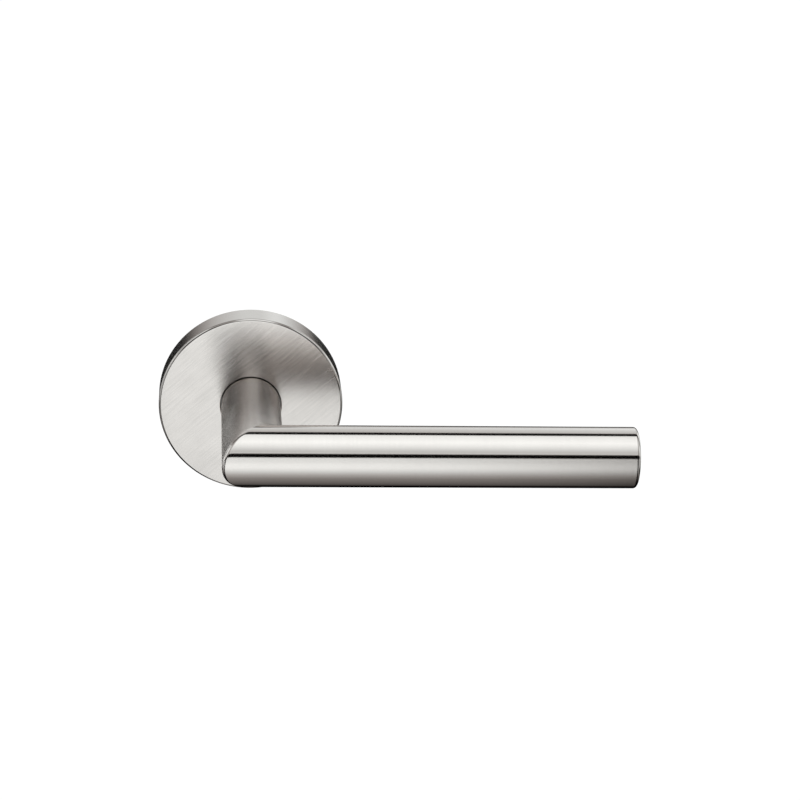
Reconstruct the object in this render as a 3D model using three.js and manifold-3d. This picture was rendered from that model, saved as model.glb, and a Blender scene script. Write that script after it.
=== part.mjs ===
// Lever handle on a round rose, for one side of a door.
//
// Millimetres. The origin is where the lever's turning axis meets the door face. +Y runs into the door, so
// the handle stands out along -Y. +X runs along the grip and +Z is up. Heights below are measured out from
// the door face, so y = -height, and what reaches into the door has a negative height. Angles are in degrees,
// seen from the front, counter-clockwise from +X. Pressing the grip down turns the lever clockwise, to
// smaller angles.

import * as THREE from "three";
import { mergeVertices } from "three/addons/utils/BufferGeometryUtils.js";
import Module from "manifold-3d";

const wasm = await Module();
wasm.setup();

// ---------------------------------------------------------------- driving dimensions

// Lever: a round tube, mitred at 45 degrees between the neck and the grip
const tubeRadius = 10;
const gripReach = 124.5; // turning axis to the end of the grip
const neckReach = 51.5; // door face to the axis of the grip
const gripEndFillet = 1.1;
const capThickness = 2.5;
const capSpigot = 5;
const capSpigotChamfer = 0.5;
const mitreGap = 0.02; // weld line between the two tubes

// Rose cover: a turned cap that hides the mounting plate
const roseRadius = 31;
const roseDepth = 9.5;
const coverWall = 1.5;
const coverEdgeRadius = 0.8;
const coverHoleGap = 0.3; // round the neck
const coverHoleChamfer = 0.2;
const coverRearChamfer = 0.2; // outside
const coverMouthChamfer = 0.3; // inside, so that it slips over the plate

// Guide ring: a plastic ring in the cover's hole that keeps the cover off the neck
const guideRingGap = 0.12; // round the neck
const guideRingWidth = 3;
const guideRingSeat = 0.5; // depth of its seat in the cover
const guideRingThickness = 0.6;
const guideRingFit = 0.05; // round it in its seat

// Spindle and the core that holds it inside the neck
const spindleWidth = 8;
const spindleCornerChamfer = 0.4;
const spindleEndChamfer = 0.5;
const spindleIntoDoor = 50;
const spindleInCore = 2; // from the core's front to the spindle's end
const spindleGap = 0.05; // between each side of the spindle and its socket
const coreWall = 1.8; // outside the spindle's corners
const coreFit = 0.05; // round the core in the tube
const coreToMitre = 3.3; // from the core's end to the inside of the bend
const coreChamfer = 0.8;
const journalStep = 0.25; // from the core down to the journal
const journalSetback = 0.4; // from the journal's end to the door face
const journalChamfer = 0.3;
const keyWidth = 3;
const keyDepth = 1.1;
const keyGap = 0.05;

// Grub screw that clamps the spindle, in the underside of the neck
const grubRadius = 3;
const grubHeight = 18; // above the door face
const grubThreadGap = 0.08;
const grubRecess = 0.4; // below the surface of the neck
const grubSocketWidth = 3;
const grubSocketDepth = 2.5;
const grubCupRim = 1.5; // radius of the edge that bites the spindle
const grubCupFloor = 0.9; // radius of the cup's flat floor
const grubCupDepth = 0.4;
const grubPointLength = 0.8;
const grubEndChamfer = 0.4;

// Bearing and axial retention of the lever in the mounting plate
const runningGap = 0.05;
const bushWall = 2.05;
const bushFit = 0.05;
const bushFlangeWidth = 2.1;
const bushFlangeThickness = 0.7;
const clipThickness = 1;
const clipGrooveDepth = 0.5;
const clipWidth = 1.9;
const clipLugRadius = 1.5;
const clipLugHole = 0.75;
const clipOpening = 34; // degrees between the lugs' inner sides
const washerThickness = 0.65;
const washerWidth = 3.3;
const clipRecessGap = 0.4; // round the washer
const clipSetback = 0.55; // from the journal's end to the clip

// Mounting plate
const plateThickness = 1.8;
const plateFit = 0.3; // round the plate inside the cover
const hubWall = 1.4; // round the rear recess
const hubChamfer = 0.3;
const rimWidth = 2.1;
const rimHeight = 5.2;
const rimChamfer = 0.5;
const sealGap = 0.03; // round the rubber ring that grips the cover, once it is squeezed
const sealHeight = 3.5;
const sealSeat = 0.85; // depth of its groove
const sealGrooveGap = 0.15; // above and below the rubber ring
const pocketDepth = 0.7; // rear pockets that lighten the casting
const pocketMargin = 2.2;
const pocketWidth = 46; // degrees

// Drive plate, its stops and the return spring
const drivePlateThickness = 1.2;
const drivePlateGap = 0.3; // to the inside of the cover
const drivePlateEdge = 0.3; // past the outside of the spring
const leverTravel = 45; // degrees from rest to fully pressed
const dogAngle = 112.5; // of the dog at rest
const dogWidth = 8; // degrees
const dogBelowSpring = 0.3; // past the spring's front leg
const dogToLeg = 3; // degrees
const armReach = 4; // of the dog and the stop arm, past the drive plate's disc
const armRootGap = 0.6; // from the disc's edge to the lugs and the dog
const armOverlap = 1; // of the arms into the disc
const stopArmAngle = 292.5;
const stopArmWidth = 16; // degrees
const stopGap = 0.6; // degrees
const stopLugWidth = 10; // degrees
const stopLugTop = 0.3; // below the front of the drive plate
const springHubGap = 0.8;
const springEndGap = 0.05;
const springCoilGap = 0.05;
const springFixedAngle = 150;
const springWholeTurns = 2;
const springBend = 7; // degrees of coil given up to the bend into each leg
const springLegInset = 1; // from the outside of the arms to the end of each leg
const springLegGap = 0.1;
const springPostRadius = 1.4;
const springPostMargin = 1; // above the fixed leg

// Fixings
const boltSpacing = 38; // the usual distance between centres
const boltRadius = 2;
const boltHole = 2.2;
const boltHeadRadius = 3.5;
const boltHeadHeight = 2.3;
const boltHeadSide = 1.2; // height of its upright side
const boltHeadShoulder = 0.65; // height of its steep part
const boltHeadShoulderWidth = 0.45;
const boltHeadCrownWidth = 0.95;
const boltEndChamfer = 0.6;
const boltIntoDoor = 45;
const boltToSpringGap = 0.5;
const boltHeadGap = 0.3; // round the head where it meets the rim
const sleeveRadius = 3.9;
const sleeveFit = 0.05;
const sleeveSeat = 1;
const sleeveIntoDoor = 12;
const sleeveChamfer = 0.5;
const woodScrewRadius = 1.75;
const woodScrewHeadRadius = 3.4;
const woodScrewHole = 1.95;
const woodScrewIntoDoor = 18;
const woodScrewPoint = 5;
const woodScrewRimGap = 0.3;
const crossWidth = 0.9;
const crossLength = 3.6;
const crossDepth = 1.2;

// How finely curves are divided
const coverSegments = 96;
const roundSegments = 64;
const ringSegments = 48;
const smallSegments = 32;
const tinySegments = 16;
const filletSteps = 5;
const sealSegments = 10;
const wireSegments = 5;
const coilSteps = 30; // a turn
const legSteps = 8; // a leg

const cutPast = 1; // how far a cutting tool reaches past what it cuts

// ---------------------------------------------------------------- sizes worked out from them

const holeRadius = tubeRadius + coverHoleGap;
const cavityHeight = roseDepth - coverWall;

const spindleHalf = spindleWidth / 2;
const socketHalf = spindleHalf + spindleGap;
const coreRadius = spindleWidth / Math.SQRT2 + coreWall;
const boreRadius = coreRadius + coreFit;
const journalRadius = coreRadius - journalStep;
const coreFront = neckReach - tubeRadius - coreToMitre;

// Heights of the parts that are stacked on the journal, from the drive plate back to the door
const driveFront = cavityHeight - drivePlateGap;
const driveBack = driveFront - drivePlateThickness;
const hubHeight = driveBack - bushFlangeThickness;
const clipBack = journalSetback + clipSetback;
const washerBack = clipBack + clipThickness;
const recessFloor = washerBack + washerThickness;

// Radii from the journal outwards
const bushBore = journalRadius + runningGap;
const bushRadius = bushBore + bushWall;
const hubBore = bushRadius + bushFit;
const washerRadius = journalRadius + washerWidth;
const recessRadius = washerRadius + clipRecessGap;
const hubRadius = recessRadius + hubWall;

// Return spring, which fills the space between the plate and the drive plate
const springSpace = driveBack - plateThickness - 2 * springEndGap;
const springMovingAngle = dogAngle - dogWidth / 2 - dogToLeg;
const springTurns = springWholeTurns + (springFixedAngle - springMovingAngle) / 360;
const wireDiameter = (springSpace - springTurns * springCoilGap) / (springTurns + 1);
const wireRadius = wireDiameter / 2;
const springRadius = hubRadius + springHubGap + wireRadius;
const springOuter = springRadius + wireRadius;
const springBack = plateThickness + springEndGap + wireRadius;
const springFront = driveBack - springEndGap - wireRadius;

const discRadius = springOuter + drivePlateEdge;
const armInner = discRadius + armRootGap;
const armOuter = discRadius + armReach;
const armMiddle = (armInner + armOuter) / 2;

const dogBack = springFront - wireRadius - dogBelowSpring;
const boltOffset = Math.max(boltSpacing / 2, springOuter + boltToSpringGap + boltHeadRadius);
const plateRadius = roseRadius - coverWall - plateFit;
const sealRadius = (sealSeat + plateFit) / 2 - sealGap;
const rimInner = plateRadius - rimWidth;
const woodScrewOffset = rimInner - woodScrewRimGap - woodScrewHeadRadius;

const radians = THREE.MathUtils.degToRad;

// ---------------------------------------------------------------- shaping helpers

// A solid from a closed mesh, for cutting and joining.
function solid(geometry) {
  const bare = geometry.clone();
  bare.deleteAttribute("normal");
  bare.deleteAttribute("uv");
  const merged = mergeVertices(bare, 1e-4);
  return new wasm.Manifold(
    new wasm.Mesh({
      numProp: 3,
      vertProperties: merged.attributes.position.array,
      triVerts: new Uint32Array(merged.index.array),
    }),
  );
}

// The mesh of a solid.
function geometryOf(body) {
  const mesh = body.getMesh();
  return new THREE.BufferGeometry()
    .setAttribute("position", new THREE.BufferAttribute(mesh.vertProperties, 3))
    .setIndex(new THREE.BufferAttribute(mesh.triVerts, 1));
}

// body with every tool cut away.
function cut(body, ...tools) {
  return tools.reduce((left, tool) => left.subtract(solid(tool)), body);
}

// body joined with every piece.
function join(body, ...pieces) {
  return pieces.reduce((whole, piece) => whole.add(solid(piece)), body);
}

// Points of an arc in a profile or outline, both ends included.
function arc(centreX, centreY, radius, from, to, steps) {
  return Array.from({ length: steps + 1 }, (_, i) => {
    const angle = radians(from + ((to - from) * i) / steps);
    return [centreX + radius * Math.cos(angle), centreY + radius * Math.sin(angle)];
  });
}

// A profile of [radius, height] turned about the lever's axis. A ring's profile is closed here, and a profile
// whose ends lie on the axis is left as it is. It can run either way round.
function turned(profile, segments = roundSegments) {
  const onAxis = profile[0][0] === 0;
  const points = profile.map(([radius, height]) => new THREE.Vector2(radius, -height));
  if (!onAxis) points.push(points[0].clone());
  if (THREE.ShapeUtils.area(points) < 0) points.reverse();
  return new THREE.LatheGeometry(points, segments);
}

// An outline in the plane of the door, with any holes, as a plate between two heights.
function plate(shape, back, front, curveSegments = smallSegments) {
  return new THREE.ExtrudeGeometry(shape, { depth: front - back, bevelEnabled: false, curveSegments })
    .rotateX(Math.PI / 2)
    .translate(0, -back, 0);
}

// A cylinder along the lever's direction, centred on x and z.
function post(x, z, radius, back, front, segments = smallSegments) {
  return new THREE.CylinderGeometry(radius, radius, front - back, segments)
    .translate(x, -(back + front) / 2, z);
}

// A ring sector between two radii, two angles and two heights.
function sector(inner, outer, from, to, back, front, segments = tinySegments) {
  const shape = new THREE.Shape();
  shape.absarc(0, 0, outer, radians(from), radians(to), false);
  shape.absarc(0, 0, inner, radians(to), radians(from), true);
  return plate(shape, back, front, segments);
}

// Where an angle and a radius lie in the plane of the door.
function polar(radius, angle) {
  return [radius * Math.cos(radians(angle)), radius * Math.sin(radians(angle))];
}

// A circle as a shape or a hole.
function circle(radius, Path = THREE.Shape) {
  return new Path().absarc(0, 0, radius, 0, 2 * Math.PI, false);
}

// ---------------------------------------------------------------- the lever

// A straight tube from 0 to length along +Z, whose end at z = 0 or at length leans along +X or +Y.
function tube(length, lean) {
  const ring = circle(tubeRadius);
  ring.holes.push(circle(boreRadius, THREE.Path));
  const straight = new THREE.ExtrudeGeometry(ring, {
    depth: length,
    bevelEnabled: false,
    curveSegments: smallSegments,
  });
  const at = straight.attributes.position;
  for (let i = 0; i < at.count; i++) {
    at.setZ(i, at.getZ(i) + lean(at.getX(i), at.getY(i), at.getZ(i) > length / 2));
  }
  return straight;
}

const grubTop = tubeRadius - grubRecess;
const grubLength = grubTop - spindleHalf - spindleGap / 2;

// A round tool along -Z for the grub screw's hole, from the spindle's socket out through the tube.
function grubHole() {
  const length = tubeRadius + cutPast;
  return new THREE.CylinderGeometry(grubRadius, grubRadius, length, smallSegments)
    .rotateX(Math.PI / 2)
    .translate(0, -grubHeight, -length / 2);
}

// Neck: from the drive plate out to the mitre, where x + height = neckReach.
function neckTube() {
  const length = neckReach - mitreGap / 2 - driveFront;
  const mitred = tube(length, (x, _, atEnd) => (atEnd ? -x : 0));
  const placed = mitred.rotateX(Math.PI / 2).translate(0, -driveFront, 0);
  return geometryOf(cut(solid(placed), grubHole()));
}

// Grip: from the same mitre plane along +X to the end cap.
function gripTube() {
  const length = gripReach - capThickness - mitreGap / 2;
  const mitred = tube(length, (_, y, atEnd) => (atEnd ? 0 : y));
  return mitred.rotateY(Math.PI / 2).translate(mitreGap / 2, -neckReach, 0);
}

// Cap that closes the grip, with a rounded edge and a spigot in the tube.
function gripEndCap() {
  const inner = gripReach - capThickness;
  const spigotRadius = coreRadius;
  const profile = [
    [0, inner - capSpigot],
    [spigotRadius - capSpigotChamfer, inner - capSpigot],
    [spigotRadius, inner - capSpigot + capSpigotChamfer],
    [spigotRadius, inner],
    [tubeRadius, inner],
    ...arc(tubeRadius - gripEndFillet, gripReach - gripEndFillet, gripEndFillet, 0, 90, filletSteps),
    [0, gripReach],
  ];
  return turned(profile).rotateZ(Math.PI / 2).translate(0, -neckReach, 0);
}

// Core of the neck: a plug in the tube and a journal behind it, with a square socket right through.
function spindleSocket() {
  const grooveRadius = journalRadius - clipGrooveDepth;
  const profile = [
    [0, coreFront],
    [coreRadius - coreChamfer, coreFront],
    [coreRadius, coreFront - coreChamfer],
    [coreRadius, driveFront],
    [journalRadius, driveFront],
    [journalRadius, washerBack],
    [grooveRadius, washerBack],
    [grooveRadius, clipBack],
    [journalRadius, clipBack],
    [journalRadius, journalSetback + journalChamfer],
    [journalRadius - journalChamfer, journalSetback],
    [0, journalSetback],
  ];
  const length = coreFront + cutPast;
  const square = new THREE.BoxGeometry(2 * socketHalf, length, 2 * socketHalf).translate(0, -length / 2, 0);
  const keyway = new THREE.BoxGeometry(keyDepth + cutPast, driveFront, keyWidth + 2 * keyGap);
  const keyMiddle = journalRadius + (cutPast - keyDepth) / 2;
  const keyways = [-1, 1].map((side) => keyway.clone().translate(side * keyMiddle, -driveFront / 2, 0));
  return geometryOf(cut(solid(turned(profile)), square, ...keyways, grubHole()));
}

// Grub screw with a hexagon socket, pointing up at the spindle.
function neckGrubScrew() {
  const radius = grubRadius - grubThreadGap;
  const profile = [
    [0, grubCupDepth],
    [grubCupFloor, grubCupDepth],
    [grubCupRim, 0],
    [radius, grubPointLength],
    [radius, grubLength - grubEndChamfer],
    [radius - grubEndChamfer, grubLength],
    [0, grubLength],
  ];
  const hexagon = grubSocketWidth / Math.sqrt(3);
  const socket = new THREE.CylinderGeometry(hexagon, hexagon, 2 * grubSocketDepth, 6)
    .translate(0, -grubLength, 0);
  return geometryOf(cut(solid(turned(profile, smallSegments)), socket))
    .rotateX(Math.PI / 2)
    .translate(0, -grubHeight, grubLength - grubTop);
}

// Square bar that turns the latch.
function spindle() {
  const half = spindleHalf;
  const inset = half - spindleCornerChamfer;
  const corners = [[half, inset], [inset, half], [-inset, half], [-half, inset]];
  const outline = [...corners, ...corners.map(([x, z]) => [-x, -z])];
  const shape = new THREE.Shape(outline.map(([x, z]) => new THREE.Vector2(x, z)));
  const front = coreFront - spindleInCore;
  return new THREE.ExtrudeGeometry(shape, {
    depth: front + spindleIntoDoor - 2 * spindleEndChamfer,
    bevelEnabled: true,
    bevelThickness: spindleEndChamfer,
    bevelSize: spindleEndChamfer,
    bevelOffset: -spindleEndChamfer,
    bevelSegments: 1,
  })
    .rotateX(Math.PI / 2)
    .translate(0, spindleIntoDoor - spindleEndChamfer, 0);
}

// Plate keyed to the journal: its dog pushes the spring and its arm meets the two stops.
function drivePlate() {
  const keyHalf = keyWidth / 2;
  const hole = journalRadius + keyGap;
  const keyRoot = journalRadius - keyDepth + keyGap;
  const turn = Math.asin(keyHalf / hole);
  const bore = new THREE.Path();
  bore.moveTo(keyRoot, -keyHalf);
  bore.lineTo(keyRoot, keyHalf);
  bore.absarc(0, 0, hole, turn, Math.PI - turn, false);
  bore.lineTo(-keyRoot, keyHalf);
  bore.lineTo(-keyRoot, -keyHalf);
  bore.absarc(0, 0, hole, Math.PI + turn, 2 * Math.PI - turn, false);
  bore.closePath();
  const disc = circle(discRadius);
  disc.holes.push(bore);
  const body = solid(plate(disc, driveBack, driveFront));
  const root = discRadius - armOverlap;
  const arm = (inner, middle, width, back) =>
    sector(inner, armOuter, middle - width / 2, middle + width / 2, back, driveFront);
  const arms = [
    arm(root, dogAngle, dogWidth, driveBack),
    arm(armInner, dogAngle, dogWidth, dogBack),
    arm(root, stopArmAngle, stopArmWidth, driveBack),
  ];
  return geometryOf(join(body, ...arms));
}

function thrustWasher() {
  const bore = journalRadius + runningGap;
  return turned([
    [bore, washerBack],
    [washerRadius, washerBack],
    [washerRadius, recessFloor],
    [bore, recessFloor],
  ], ringSegments);
}

// Open spring clip in the journal's groove, with a plier hole in each lug.
function retainingRing() {
  const inner = journalRadius - clipGrooveDepth + runningGap;
  const outer = inner + clipWidth;
  const half = clipOpening / 2;
  const lugAngle = half + THREE.MathUtils.radToDeg(clipLugRadius / outer);
  const down = 270;
  const front = washerBack;
  const lugs = [-1, 1].map((side) => polar(outer, down + side * lugAngle));
  const ring = sector(inner, outer, down + half, down + 360 - half, clipBack, front, smallSegments);
  const lugPosts = lugs.map(([x, z]) => post(x, z, clipLugRadius, clipBack, front, tinySegments));
  const hole = (x, z, radius, segments) =>
    post(x, z, radius, clipBack - cutPast, front + cutPast, segments);
  const holes = lugs.map(([x, z]) => hole(x, z, clipLugHole, tinySegments));
  return geometryOf(cut(join(solid(ring), ...lugPosts), hole(0, 0, inner, ringSegments), ...holes));
}

// ---------------------------------------------------------------- the rose's fixed parts

// Die-cast plate with the hub that carries the lever, the rim that carries the cover, and the stops.
function mountingPlate() {
  const grooveRadius = plateRadius - sealSeat;
  const grooveHalf = sealRadius + sealGrooveGap;
  const profile = [
    [hubBore, recessFloor],
    [hubBore, hubHeight],
    [hubRadius - hubChamfer, hubHeight],
    [hubRadius, hubHeight - hubChamfer],
    [hubRadius, plateThickness],
    [rimInner, plateThickness],
    [rimInner, rimHeight],
    [plateRadius - rimChamfer, rimHeight],
    [plateRadius, rimHeight - rimChamfer],
    [plateRadius, sealHeight + grooveHalf],
    [grooveRadius, sealHeight + grooveHalf],
    [grooveRadius, sealHeight - grooveHalf],
    [plateRadius, sealHeight - grooveHalf],
    [plateRadius, 0],
    [recessRadius, 0],
    [recessRadius, recessFloor],
  ];
  const stopHalf = stopArmWidth / 2 + stopGap;
  const lugTop = driveFront - stopLugTop;
  const restStop = stopArmAngle + stopHalf;
  const pressedStop = stopArmAngle - leverTravel - stopHalf;
  const postTurn = THREE.MathUtils.radToDeg((wireRadius + springLegGap + springPostRadius) / armMiddle);
  const [postX, postZ] = polar(armMiddle, springFixedAngle - postTurn);
  const root = plateThickness / 2;
  const raised = [
    sector(armInner, armOuter, restStop, restStop + stopLugWidth, root, lugTop),
    sector(armInner, armOuter, pressedStop - stopLugWidth, pressedStop, root, lugTop),
    post(postX, postZ, springPostRadius, root, springBack + wireRadius + springPostMargin),
  ];
  const holes = [-1, 1].flatMap((side) => [
    post(side * boltOffset, 0, boltHole, -cutPast, plateThickness + cutPast),
    post(side * boltOffset, 0, sleeveRadius + sleeveFit, -cutPast, sleeveSeat),
    post(side * boltOffset, 0, boltHeadRadius + boltHeadGap, plateThickness, rimHeight + cutPast),
    post(0, side * woodScrewOffset, woodScrewHole, -cutPast, plateThickness + cutPast),
    countersink(side * woodScrewOffset),
  ]);
  const inner = recessRadius + pocketMargin;
  const outer = plateRadius - pocketMargin;
  const pockets = [45, 135, 225, 315].map((middle) =>
    sector(inner, outer, middle - pocketWidth / 2, middle + pocketWidth / 2, -cutPast, pocketDepth));
  return geometryOf(cut(join(solid(turned(profile)), ...raised), ...holes, ...pockets));
}

// Cone for a wood screw's head, a little wider than the head all the way down.
function countersink(z) {
  const gap = woodScrewHole - woodScrewRadius;
  const depth = woodScrewHeadRadius - woodScrewRadius;
  const profile = [
    [0, plateThickness + cutPast],
    [woodScrewHeadRadius + gap, plateThickness + cutPast],
    [woodScrewHeadRadius + gap, plateThickness],
    [woodScrewRadius + gap, plateThickness - depth],
    [0, plateThickness - depth],
  ];
  return turned(profile, smallSegments).translate(0, 0, z);
}

// Flanged plastic bush that the journal turns in.
function neckBush() {
  return turned([
    [bushBore, recessFloor],
    [bushRadius, recessFloor],
    [bushRadius, hubHeight],
    [bushRadius + bushFlangeWidth, hubHeight],
    [bushRadius + bushFlangeWidth, driveBack],
    [bushBore, driveBack],
  ]);
}

// Torsion spring: its rear leg bears on the plate's post and its front leg on the drive plate's dog. From
// rear to front it winds clockwise, so pressing the grip tightens it.
function returnSpring() {
  const steps = Math.round(springTurns * coilSteps);
  const coil = Array.from({ length: steps + 1 }, (_, i) => {
    const share = i / steps;
    const turn = THREE.MathUtils.lerp(springBend, springTurns * 360 - springBend, share);
    const [x, z] = polar(springRadius, springFixedAngle - turn);
    return new THREE.Vector3(x, -THREE.MathUtils.lerp(springBack, springFront, share), z);
  });
  const path = new THREE.CatmullRomCurve3([
    ...springLeg(springFixedAngle, -1, springBack),
    ...coil,
    ...springLeg(springMovingAngle, 1, springFront).reverse(),
  ]);
  const drawn = 0.99; // of the wire's radius, because the curve between points swings out a little
  return new THREE.ExtrudeGeometry(circle(wireRadius * drawn), {
    steps: steps + 2 * legSteps,
    extrudePath: path,
    curveSegments: wireSegments,
    bevelEnabled: false,
  });
}

// Points of one leg from its end in to the coil. side is the way round from the leg to the coil.
function springLeg(angle, side, height) {
  const straight = [armOuter - springLegInset, armMiddle, springRadius + wireDiameter];
  const bendMiddle = springRadius + wireDiameter / 4;
  return [
    ...straight.map((radius) => polar(radius, angle)),
    polar(bendMiddle, angle + (side * springBend) / 3),
  ].map(([x, z]) => new THREE.Vector3(x, -height, z));
}

// Rubber ring in the plate's rim that grips the inside of the cover.
function coverSeal() {
  const middle = plateRadius - sealSeat + sealGap + sealRadius;
  const lastAngle = 360 - 360 / sealSegments;
  return turned(arc(middle, sealHeight, sealRadius, 0, lastAngle, sealSegments - 1));
}

// ---------------------------------------------------------------- the cover

function roseCover() {
  const inner = roseRadius - coverWall;
  const seatRadius = tubeRadius + guideRingGap + guideRingWidth + guideRingFit;
  const edgeCentre = [roseRadius - coverEdgeRadius, roseDepth - coverEdgeRadius];
  return turned([
    [holeRadius, roseDepth - coverHoleChamfer],
    [holeRadius + coverHoleChamfer, roseDepth],
    ...arc(...edgeCentre, coverEdgeRadius, 90, 0, filletSteps),
    [roseRadius, coverRearChamfer],
    [roseRadius - coverRearChamfer, 0],
    [inner + coverMouthChamfer, 0],
    [inner, coverMouthChamfer],
    [inner, cavityHeight],
    [seatRadius, cavityHeight],
    [seatRadius, cavityHeight + guideRingSeat],
    [holeRadius, cavityHeight + guideRingSeat],
  ], coverSegments);
}

function coverGuideRing() {
  const bore = tubeRadius + guideRingGap;
  const front = cavityHeight + guideRingSeat;
  return turned([
    [bore, front - guideRingThickness],
    [bore + guideRingWidth, front - guideRingThickness],
    [bore + guideRingWidth, front],
    [bore, front],
  ]);
}

// ---------------------------------------------------------------- fixings

// Cross recess for a driver, as two bars cut into the front of a head.
function crossRecess(x, z, top) {
  const bar = (width, height) =>
    new THREE.BoxGeometry(width, 2 * crossDepth, height).translate(x, -top, z);
  return [bar(crossWidth, crossLength), bar(crossLength, crossWidth)];
}

// Machine screw through the door, with a raised head on the plate.
function throughBolt(side) {
  const x = side * boltOffset;
  const sideTop = plateThickness + boltHeadSide;
  const top = plateThickness + boltHeadHeight;
  const shoulderRadius = boltHeadRadius - boltHeadShoulderWidth;
  const profile = [
    [0, -boltIntoDoor],
    [boltRadius - boltEndChamfer, -boltIntoDoor],
    [boltRadius, boltEndChamfer - boltIntoDoor],
    [boltRadius, plateThickness],
    [boltHeadRadius, plateThickness],
    [boltHeadRadius, sideTop],
    [shoulderRadius, sideTop + boltHeadShoulder],
    [shoulderRadius - boltHeadCrownWidth, top],
    [0, top],
  ];
  const body = solid(turned(profile, smallSegments).translate(x, 0, 0));
  return geometryOf(cut(body, ...crossRecess(x, 0, top)));
}

// Plain sleeve round each bolt where it enters the door.
function boltSleeve(side) {
  return turned([
    [boltHole, sleeveSeat],
    [boltHole, -sleeveIntoDoor],
    [sleeveRadius - sleeveChamfer, -sleeveIntoDoor],
    [sleeveRadius, sleeveChamfer - sleeveIntoDoor],
    [sleeveRadius, sleeveSeat],
  ], smallSegments).translate(side * boltOffset, 0, 0);
}

// Countersunk wood screw that stops the plate from turning.
function woodScrew(side) {
  const z = side * woodScrewOffset;
  const profile = [
    [0, -woodScrewIntoDoor],
    [woodScrewRadius, woodScrewPoint - woodScrewIntoDoor],
    [woodScrewRadius, plateThickness - (woodScrewHeadRadius - woodScrewRadius)],
    [woodScrewHeadRadius, plateThickness],
    [0, plateThickness],
  ];
  const body = solid(turned(profile, smallSegments).translate(0, 0, z));
  return geometryOf(cut(body, ...crossRecess(0, z, plateThickness)));
}

// ---------------------------------------------------------------- assembly

const metal = (color, roughness) => new THREE.MeshStandardMaterial({ color, roughness, metalness: 1 });
const plastic = (color, roughness) => new THREE.MeshStandardMaterial({ color, roughness, metalness: 0 });

const satinSteel = metal(0xbdb8b2, 0.32);
const plainSteel = metal(0x9a9a98, 0.4);
const zincCasting = metal(0x8e9093, 0.55);
const springSteel = metal(0x6d6a66, 0.35);
const yellowZinc = metal(0xb9a775, 0.35);
const blackSteel = metal(0x2e2d2c, 0.5);
const whiteAcetal = plastic(0xe6e4dc, 0.45);
const blackAcetal = plastic(0x1c1c1c, 0.5);
const rubber = plastic(0x161616, 0.8);

const pieces = [
  ["grip_tube", gripTube(), satinSteel],
  ["neck_tube", neckTube(), satinSteel],
  ["grip_end_cap", gripEndCap(), satinSteel],
  ["spindle_socket", spindleSocket(), plainSteel],
  ["neck_grub_screw", neckGrubScrew(), blackSteel],
  ["spindle", spindle(), yellowZinc],
  ["drive_plate", drivePlate(), plainSteel],
  ["thrust_washer", thrustWasher(), plainSteel],
  ["retaining_ring", retainingRing(), springSteel],
  ["mounting_plate", mountingPlate(), zincCasting],
  ["neck_bush", neckBush(), whiteAcetal],
  ["return_spring", returnSpring(), springSteel],
  ["cover_seal_ring", coverSeal(), rubber],
  ["bolt_sleeve_left", boltSleeve(-1), yellowZinc],
  ["bolt_sleeve_right", boltSleeve(1), yellowZinc],
  ["through_bolt_left", throughBolt(-1), plainSteel],
  ["through_bolt_right", throughBolt(1), plainSteel],
  ["wood_screw_top", woodScrew(1), yellowZinc],
  ["wood_screw_bottom", woodScrew(-1), yellowZinc],
  ["rose_cover", roseCover(), satinSteel],
  ["cover_guide_ring", coverGuideRing(), blackAcetal],
];

const handle = new THREE.Group();
for (const [name, geometry, material] of pieces) {
  const mesh = new THREE.Mesh(geometry, material);
  mesh.name = name;
  handle.add(mesh);
}

export default handle;
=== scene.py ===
"""The looks of a door lever handle on a round rose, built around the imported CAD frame.

Metres, in the frame's own axes. The turning axis is Y.
+Y runs into the door, +X runs along the grip and +Z is up.
"""

import math

import bmesh
import bpy
from mathutils import Matrix, Vector, geometry


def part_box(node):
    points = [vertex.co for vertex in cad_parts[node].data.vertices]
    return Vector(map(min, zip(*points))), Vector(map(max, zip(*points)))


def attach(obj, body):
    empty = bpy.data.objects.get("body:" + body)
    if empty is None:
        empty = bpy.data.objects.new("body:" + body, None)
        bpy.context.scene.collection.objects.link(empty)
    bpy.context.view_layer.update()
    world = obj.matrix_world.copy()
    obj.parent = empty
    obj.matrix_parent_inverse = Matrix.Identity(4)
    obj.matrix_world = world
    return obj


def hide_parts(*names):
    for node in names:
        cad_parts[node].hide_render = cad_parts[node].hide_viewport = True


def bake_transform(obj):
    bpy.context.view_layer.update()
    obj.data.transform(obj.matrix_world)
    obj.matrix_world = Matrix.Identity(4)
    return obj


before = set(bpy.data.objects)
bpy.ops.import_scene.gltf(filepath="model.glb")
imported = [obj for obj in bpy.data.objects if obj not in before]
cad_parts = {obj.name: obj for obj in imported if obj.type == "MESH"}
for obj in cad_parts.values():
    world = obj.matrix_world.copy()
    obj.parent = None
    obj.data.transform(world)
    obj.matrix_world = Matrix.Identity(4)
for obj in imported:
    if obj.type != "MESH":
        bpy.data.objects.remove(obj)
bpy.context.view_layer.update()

MM = 0.001

# ---------------------------------------------------------------- sizes read from the frame


def extent(node):
    """Rear height, front height and top of a node's box. Heights are measured out from the door."""
    low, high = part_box(node)
    return -high.y, -low.y, high.z


grip_low, grip_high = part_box("grip_tube")
cap_low, cap_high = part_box("grip_end_cap")
neck_rear, _, tube_radius = extent("neck_tube")
_, rose_depth, rose_radius = extent("rose_cover")
core_rear, core_front, core_radius = extent("spindle_socket")
washer_back, recess_floor, washer_radius = extent("thrust_washer")
_, drive_back, flange_radius = extent("neck_bush")
_, drive_front, _ = extent("drive_plate")
clip_back, clip_front, _ = extent("retaining_ring")
_, _, plate_radius = extent("mounting_plate")
ring_back, ring_front, ring_radius = extent("cover_guide_ring")
spindle_rear, spindle_front, spindle_half = extent("spindle")
neck_reach = -(grip_low.y + grip_high.y) / 2

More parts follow.
